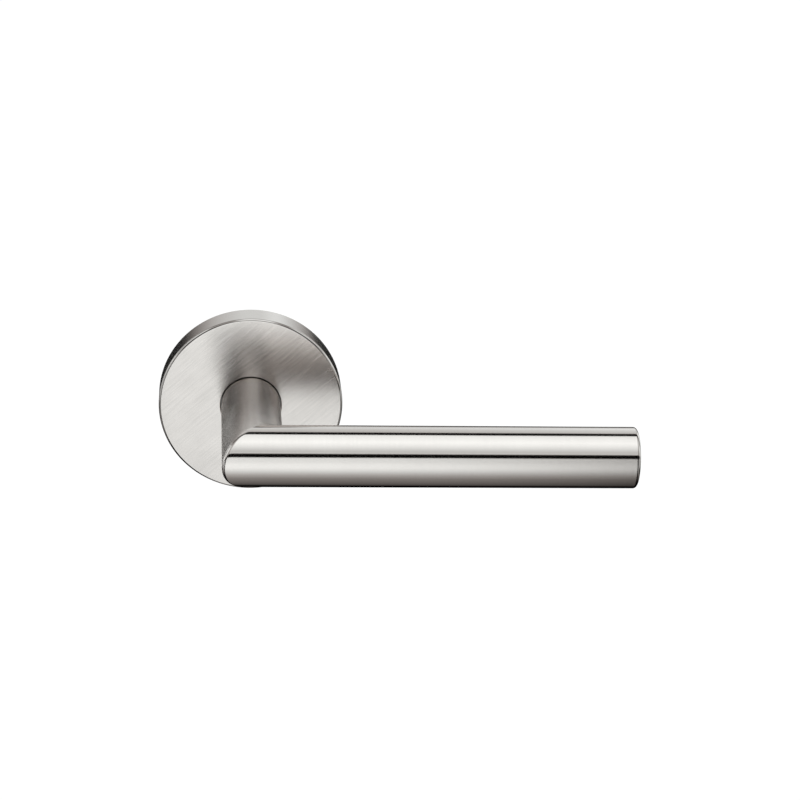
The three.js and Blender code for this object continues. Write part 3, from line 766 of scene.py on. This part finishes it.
rim_inner = plate_radius - rim_width
groove_half = seal_radius + groove_play
groove_floor = plate_radius - groove_depth
profile = [(hub_bore, recess_floor), (hub_bore, hub_height), (hub_radius, hub_height)]
profile += [(hub_radius, plate_thickness), (rim_inner, plate_thickness)]
profile += [(rim_inner, rim_height), (plate_radius, rim_height)]
profile += [(plate_radius, seal_height + groove_half), (groove_floor, seal_height + groove_half)]
profile += [(groove_floor, seal_height - groove_half), (plate_radius, seal_height - groove_half)]
profile += [(plate_radius, 0), (recess_radius, 0), (recess_radius, recess_floor)]
bolt_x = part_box("through_bolt_right")[1].x - bolt_head_radius
screw_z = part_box("wood_screw_top")[1].z - screw_head_radius
lug_top = drive_front - stop_lug_drop
root = plate_thickness / 2
rest_stop = STOP_ARM + STOP_ARM_WIDTH / 2 + STOP_GAP
pressed_stop = STOP_ARM - TRAVEL - STOP_ARM_WIDTH / 2 - STOP_GAP
post_place = polar(arm_middle, FIXED_LEG - math.degrees((wire_radius + post_play + post_radius) / arm_middle))
post_top = spring_back + wire_radius + post_stand
post = [(0, root), (post_radius, root), (post_radius, post_top), (0, post_top)]
raised = [
    sector(arm_inner, arm_outer, rest_stop + STOP_LUG_WIDTH / 2, STOP_LUG_WIDTH, root, lug_top),
    sector(arm_inner, arm_outer, pressed_stop - STOP_LUG_WIDTH / 2, STOP_LUG_WIDTH, root, lug_top),
    turned(post, segments=48, closed=False, centre=post_place),
]
holes = []
for side in (-1, 1):
    bolt, screw = (side * bolt_x, 0), (0, side * screw_z)
    holes.append(rod(bolt_hole, -overrun, plate_thickness + overrun, bolt))
    holes.append(rod(sleeve_seat_radius, -overrun, sleeve_seat_depth, bolt))
    holes.append(rod(bolt_head_radius + bolt_head_play, plate_thickness, rim_height + overrun, bolt))
    cone = [(0, -overrun), (screw_hole, -overrun), (screw_hole, screw_hole_depth)]
    cone += [(screw_seat, plate_thickness), (screw_seat, plate_thickness + overrun)]
    cone += [(0, plate_thickness + overrun)]
    holes.append(turned(cone, segments=48, closed=False, centre=screw))
pocket_inner, pocket_outer = recess_radius + pocket_margin, plate_radius - pocket_margin
holes += [sector(pocket_inner, pocket_outer, at, POCKET_WIDTH, -overrun, pocket_depth, 32) for at in POCKETS]
plate = carved(turned(profile, segments=144), holes, raised)
finish_mesh("plate", plate, "rose", ["mounting_plate"], casting, bevel=plate_bevel)

bush_rounding, guide_rounding, guide_play = 0.15 * MM, 0.12 * MM, 0.12 * MM
bush = [(bush_bore, recess_floor), (bush_radius, recess_floor), (bush_radius, hub_height)]
bush += [(flange_radius, hub_height), (flange_radius, drive_back), (bush_bore, drive_back)]
finish_mesh("bush", turned(bush, bush_rounding), "rose", ["neck_bush"], white_acetal)

seal_middle = groove_floor + seal_lift + seal_radius
seal = turned(arc(seal_middle, seal_height, seal_radius, 0, 345, 23), segments=144)
finish_mesh("seal_ring", seal, "rose", ["cover_seal_ring"], rubber)

guide_bore = tube_radius + guide_play
guide = [(guide_bore, ring_back), (ring_radius, ring_back)]
guide += [(ring_radius, ring_front), (guide_bore, ring_front)]
guide_ring = turned(guide, guide_rounding)
finish_mesh("guide_ring", guide_ring, "cover", ["cover_guide_ring"], black_acetal)

# ---------------------------------------------------------------- return spring

BEND = 7.0
SPRING_SIDES = 20
COIL_STEPS = 110
BEND_STEPS = 9
WIRE_END = 0.85  # a cut end's width, in times the wire's
leg_inset, bend_start = 1 * MM, 1.6 * MM


def on_coil(turn, height):
    x, z = polar(spring_radius, FIXED_LEG - turn)
    return Vector((x, -height, z))


total_turn = WHOLE_TURNS * 360 + FIXED_LEG - MOVING_LEG
coil = []
for i in range(COIL_STEPS + 1):
    share = i / COIL_STEPS
    height = spring_back + (spring_front - spring_back) * share
    coil.append(on_coil(BEND + (total_turn - 2 * BEND) * share, height))


def spring_leg(angle, height, meets, beyond):
    """Points from the end of a leg, in along a radius and round the bend to the coil's end point, meets."""
    points = []
    for radius in (arm_outer - leg_inset, arm_middle, spring_radius + bend_start):
        x, z = polar(radius, angle)
        points.append(Vector((x, -height, z)))
    reach = 0.5 * (points[-1] - meets).length
    inward = (points[-1] - points[0]).normalized() * reach
    along_coil = (meets - beyond).normalized() * reach
    handles = (points[-1], points[-1] + inward, meets + along_coil, meets)
    return points[:-1] + geometry.interpolate_bezier(*handles, BEND_STEPS)[:-1]


path = spring_leg(FIXED_LEG, spring_back, coil[0], coil[1]) + coil
path += reversed(spring_leg(MOVING_LEG, spring_front, coil[-1], coil[-2]))
rings, uvs = [], []
length = 0.0
for i, point in enumerate(path):
    before, after = path[max(i - 1, 0)], path[min(i + 1, len(path) - 1)]
    heading = (after - before).normalized()
    side = heading.cross(Vector((0, 1, 0))).normalized()
    lift = side.cross(heading)
    if i:
        length += (point - before).length
    widths = (0.0, WIRE_END) if i == 0 else (WIRE_END, 0.0) if i == len(path) - 1 else (1.0,)
    for share in widths:
        angles = [2 * math.pi * j / SPRING_SIDES for j in range(SPRING_SIDES + 1)]
        size = wire_radius * share
        rings.append([point + (side * math.cos(a) + lift * math.sin(a)) * size for a in angles[:-1]])
        uvs.append([(length, a * wire_radius) for a in angles])
bm = bmesh.new()
grid(bm, rings, uvs)
spring = finish_mesh("spring", bm, None, ["return_spring"], spring_steel, sharp=60)
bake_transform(spring)

# ---------------------------------------------------------------- fixings


RECESS_FLARE = 1.5
TIP = 0.25  # the width of a screw's tip, in times its full width
recess_width, recess_length, recess_depth = 0.7 * MM, 3 * MM, 1.2 * MM


def cross_recess(centre, top):
    """Tools for a cross recess that narrows towards its floor."""
    bars = [rectangle(recess_width, recess_length), rectangle(recess_length, recess_width)]
    return [prism(bar, top - recess_depth, top + recess_depth, RECESS_FLARE, centre) for bar in bars]


def threaded(profile_front, radius, pitch, depth, rear, front, point, centre, segments=32):
    """A screw along the lever's axis: a tip that is point long, a thread, and profile_front ahead of it."""
    core = radius - depth

    def tapered(full):
        return lambda height: full * min(1.0, TIP + (1 - TIP) * (height - rear) / point)

    bm = bmesh.new()
    lathe(bm, [(0, rear), (tapered(core)(rear), rear)], segments, closed=False, centre=centre)
    thread(bm, tapered(radius), tapered(core), pitch, rear, front, segments, centre)
    lathe(bm, [(core, front), *profile_front], segments, closed=False, centre=centre)
    return bm


bolt_pitch, bolt_thread_depth, bolt_tip = 0.7 * MM, 0.38 * MM, 0.8 * MM
bolt_thread_front, bolt_runout, head_round = -10 * MM, 0.3 * MM, 1.3 * MM
sleeve_rounding = 0.3 * MM
for side, name in ((-1, "left"), (1, "right")):
    rear, top, _ = extent("through_bolt_" + name)
    centre = (side * bolt_x, 0)
    head = [(bolt_radius, bolt_thread_front + bolt_runout), (bolt_radius, plate_thickness)]
    head += [(bolt_head_radius, plate_thickness)]
    head += arc(bolt_head_radius - head_round, top - head_round, head_round, 0, 90, 8) + [(0, top)]
    thread_sizes = (bolt_radius, bolt_pitch, bolt_thread_depth, rear, bolt_thread_front, bolt_tip)
    bolt = carved(threaded(head, *thread_sizes, centre), cross_recess(centre, top))
    finish_mesh("bolt_" + name, bolt, "rose", ["through_bolt_" + name], bright_zinc)

    rear, front, radius = extent("bolt_sleeve_" + name)
    sleeve = [(bolt_hole, front), (bolt_hole, rear), (radius, rear), (radius, front)]
    sleeve = turned(sleeve, sleeve_rounding, 64, centre=centre)
    finish_mesh("sleeve_" + name, sleeve, "rose", ["bolt_sleeve_" + name], yellow_zinc)

screw_pitch, screw_thread_depth, screw_tip = 1.4 * MM, 0.5 * MM, 5 * MM
screw_neck, screw_runout, screw_cone = 0.2 * MM, 0.3 * MM, 1.65 * MM
for side, name in ((1, "top"), (-1, "bottom")):
    rear, front, _ = extent("wood_screw_" + name)
    centre = (0, side * screw_z)
    neck_height = plate_thickness - screw_cone
    head = [(screw_radius, neck_height - screw_neck), (screw_radius, neck_height)]
    head += [(screw_head_radius, front), (0, front)]
    thread_front = neck_height - screw_runout
    thread_sizes = (screw_radius, screw_pitch, screw_thread_depth, rear, thread_front, screw_tip)
    screw = carved(threaded(head, *thread_sizes, centre, 28), cross_recess(centre, front))
    finish_mesh("screw_" + name, screw, "rose", ["wood_screw_" + name], yellow_zinc)

# ---------------------------------------------------------------- stage

# A pale floor and a pale dome round it. Only the camera sees them, so they cast no light and no reflection.
FLOOR_RADIUS, FLOOR_HEIGHT, DOME_RADIUS = 7, -0.3, 6

floor_shape = bmesh.new()
bmesh.ops.create_circle(floor_shape, cap_ends=True, segments=96, radius=FLOOR_RADIUS)
floor_shape.transform(Matrix.Translation((0, 0, FLOOR_HEIGHT)))
dome_shape = bmesh.new()
bmesh.ops.create_icosphere(dome_shape, subdivisions=5, radius=DOME_RADIUS)
for name, bm in (("floor", floor_shape), ("backdrop", dome_shape)):
    mesh = bpy.data.meshes.new(name)
    bm.to_mesh(mesh)
    bm.free()
    stage = scene_object(name, mesh)
    stage.visible_glossy = False
    stage.visible_diffuse = False
    stage.visible_shadow = False
    stage.visible_transmission = False
    t = Tree("pale_" + name)
    t.set(Base_Color=rgb(0.05, 0.05, 0.05), Roughness=1.0, Emission_Color=rgb(1, 1, 1), Emission_Strength=1.0)
    t.set(Specular_IOR_Level=0.0)
    mesh.materials.append(t.material)

# ---------------------------------------------------------------- light

# The light is a sky of soft panels. FRONT, TOP and REAR give brightness against an angle round the grip's
# direction: 0 is level in front, 90 overhead, 180 level behind. BACK gives it against how far a direction
# points into the door. Each WIDTH gives the share of that brightness from left, -1, to right, 1. END is added
# at the far left and right.
FRONT_LIGHT = [
    (-118, 0.0), (-105, 0.13), (-85, 0.24), (-68, 0.35), (-52, 0.62), (-40, 0.95), (-30, 1.27), (-20, 1.5),
    (-8, 1.5), (4, 1.33), (14, 1.28), (18, 1.15), (19.5, 0.0),
]
FRONT_WIDTH = [
    (-0.86, 0.0), (-0.8, 0.75), (-0.66, 0.75), (-0.58, 0.0), (-0.24, 0.0), (-0.13, 1.0), (0.14, 1.0),
    (0.23, 0.02), (0.6, 0.02), (0.66, 0.8), (0.8, 0.8), (0.84, 0.0),
]
TOP_LIGHT = [
    (32.0, 0.0), (34, 0.95), (41, 0.84), (48, 1.0), (58, 1.26), (68, 1.46), (78, 1.6), (90, 1.5), (104, 1.38),
    (110.5, 1.25), (112.5, 0.0),
]
TOP_WIDTH = [
    (-0.95, 0.6), (-0.62, 0.9), (-0.54, 0.35), (-0.25, 0.35), (-0.1, 1.0), (0.28, 1.0), (0.4, 0.35),
    (0.54, 0.35), (0.62, 0.9), (0.95, 0.6),
]
REAR_LIGHT = [
    (124, 0.0), (126, 0.72), (136, 0.82), (148, 0.92), (156, 1.05), (165, 0.9), (170, 0.68), (175, 0.36),
    (180, 0.1),
]
REAR_WIDTH = [(-0.5, 0.35), (-0.28, 0.75), (-0.05, 0.97), (0.1, 0.97), (0.22, 1.2), (0.32, 1.0), (0.5, 0.95)]
END_WIDTH = [(-0.95, 0.9), (-0.92, 0.0), (0.92, 0.0), (0.95, 0.9)]
BACK_WIDTH = [
    (-0.84, 0.0), (-0.78, 0.9), (-0.62, 0.9), (-0.56, 0.0),
    (0.56, 0.0), (0.62, 0.9), (0.78, 0.9), (0.84, 0.0),
]
BACK_DEPTH = [(0.5, 0.0), (0.6, 1.0)]
RAMP_TOP = 2.0  # a ramp's colours stop at 1, so they hold this part of the brightness
# Each channel's share of the brightness where it is 0, and where it is 1 or more: dim light is warmer.
TINT = (("Red", 1.0, 0.955), ("Green", 0.93, 1.01), ("Blue", 0.89, 1.02))

world = bpy.data.worlds.new("studio")
bpy.context.scene.world = world
world.use_nodes = True
nodes, links = world.node_tree.nodes, world.node_tree.links


def world_math(operation, a, b):
    node = nodes.new("ShaderNodeMath")
    node.operation = operation
    for i, value in enumerate((a, b)):
        if isinstance(value, bpy.types.NodeSocket):
            links.new(value, node.inputs[i])
        else:
            node.inputs[i].default_value = value
    return node.outputs[0]


def world_ramp(value, stops, low, high):
    """Brightness at value, from stops of (place, brightness) between low and high."""
    share = nodes.new("ShaderNodeMapRange")
    share.inputs["From Min"].default_value = low
    share.inputs["From Max"].default_value = high
    links.new(value, share.inputs["Value"])
    ramp = nodes.new("ShaderNodeValToRGB")
    links.new(share.outputs["Result"], ramp.inputs["Fac"])
    elements = ramp.color_ramp.elements
    elements.remove(elements[-1])
    for i, (place, brightness) in enumerate(stops):
        position = (place - low) / (high - low)
        element = elements[0] if i == 0 else elements.new(position)
        element.position = position
        element.color = rgb(*[brightness / RAMP_TOP] * 3)
    return world_math("MULTIPLY", ramp.outputs["Color"], RAMP_TOP)


background = nodes["Background"]
direction = nodes.new("ShaderNodeTexCoord")
split = nodes.new("ShaderNodeSeparateXYZ")
links.new(direction.outputs["Generated"], split.inputs[0])
sideways = split.outputs["X"]
turn = world_math("ARCTAN2", split.outputs["Z"], world_math("MULTIPLY", split.outputs["Y"], -1.0))
degrees = world_math("MULTIPLY", turn, 180 / math.pi)
total = world_ramp(sideways, END_WIDTH, -1, 1)
panels = [
    (FRONT_LIGHT, FRONT_WIDTH, degrees, 180),
    (TOP_LIGHT, TOP_WIDTH, degrees, 180),
    (REAR_LIGHT, REAR_WIDTH, degrees, 180),
    (BACK_DEPTH, BACK_WIDTH, split.outputs["Y"], 1),
]
for light, width, place, limit in panels:
    part = world_math("MULTIPLY", world_ramp(place, light, -limit, limit), world_ramp(sideways, width, -1, 1))
    total = world_math("ADD", total, part)
tint = nodes.new("ShaderNodeCombineColor")
for channel, dim, bright in TINT:
    share = nodes.new("ShaderNodeMapRange")
    share.inputs["To Min"].default_value = dim
    share.inputs["To Max"].default_value = bright
    links.new(total, share.inputs["Value"])
    links.new(world_math("MULTIPLY", total, share.outputs["Result"]), tint.inputs[channel])
links.new(tint.outputs["Color"], background.inputs["Color"])
background.inputs["Strength"].default_value = 1.0

# ---------------------------------------------------------------- camera

YAW, PITCH, ROLL = math.radians(5.215), math.radians(22.543), math.radians(2.378)
CAMERA_PLACE = (-0.01578, -0.73543, 0.30488)
LENS, SENSOR_WIDTH = 104.69, 36
NEAREST, FARTHEST = 0.01, 50
camera_data = bpy.data.cameras.new("camera")
camera_data.sensor_width = SENSOR_WIDTH
camera_data.lens = LENS
camera_data.clip_start = NEAREST
camera_data.clip_end = FARTHEST
camera = bpy.data.objects.new("camera", camera_data)
bpy.context.scene.collection.objects.link(camera)
bpy.context.scene.camera = camera
forward = Vector((math.sin(YAW) * math.cos(PITCH), math.cos(YAW) * math.cos(PITCH), -math.sin(PITCH)))
level_right = Vector((math.cos(YAW), -math.sin(YAW), 0))
level_up = level_right.cross(forward)
right = level_right * math.cos(ROLL) + level_up * math.sin(ROLL)
up = level_up * math.cos(ROLL) - level_right * math.sin(ROLL)
turned_to_view = Matrix((right, up, -forward)).transposed().to_4x4()
camera.matrix_world = Matrix.Translation(CAMERA_PLACE) @ turned_to_view

bpy.context.scene.view_settings.view_transform = "Standard"
